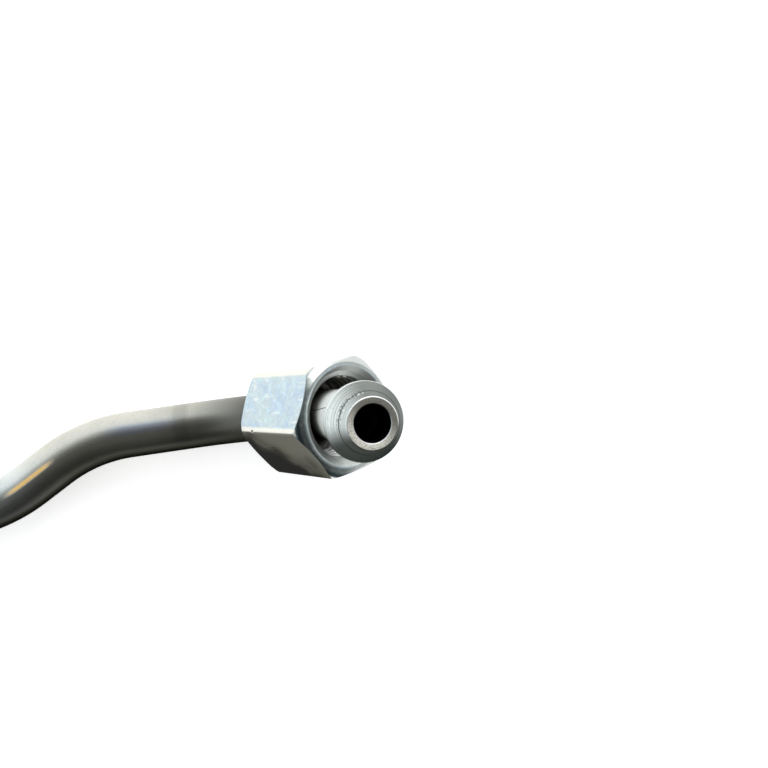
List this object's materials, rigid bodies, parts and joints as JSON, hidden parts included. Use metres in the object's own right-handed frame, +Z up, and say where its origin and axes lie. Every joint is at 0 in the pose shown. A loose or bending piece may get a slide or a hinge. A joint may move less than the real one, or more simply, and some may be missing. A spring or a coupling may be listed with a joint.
{
  "type": "fuel injection pipe",
  "caption": "Rigid bent steel fuel pipe with a stepped level run, ends that rise to turned conical sealing heads, and loose hexagonal union nuts.",
  "frame": {"origin": "middle of the footprint, on the surface that the pipe lies on", "axes": "+Z up, +X along the pipe to end A, +Y towards the side to which the level run steps at both ends"},
  "size_m": [0.2109, 0.0231, 0.0396],
  "materials": {
    "drawn_steel": "satin drawn steel with turned heads",
    "zinc_plate": "bright zinc plate"
  },
  "bodies": {
    "pipe": {"pipe": "drawn_steel"},
    "union_nut_a": {"union_nut_a": "zinc_plate"},
    "union_nut_b": {"union_nut_b": "zinc_plate"}
  },
  "joints": [
    {"name": "nut_a_turn", "type": "hinge", "parent": "pipe", "child": "union_nut_a", "pos_m": [0.08892, 0.00195, 0.01047], "axis": [0.5848, -0.0127, 0.8111], "continuous": true},
    {"name": "nut_b_turn", "type": "hinge", "parent": "pipe", "child": "union_nut_b", "pos_m": [-0.08892, 0.00195, 0.01047], "axis": [-0.5848, -0.0127, 0.8111], "continuous": true}
  ]
}
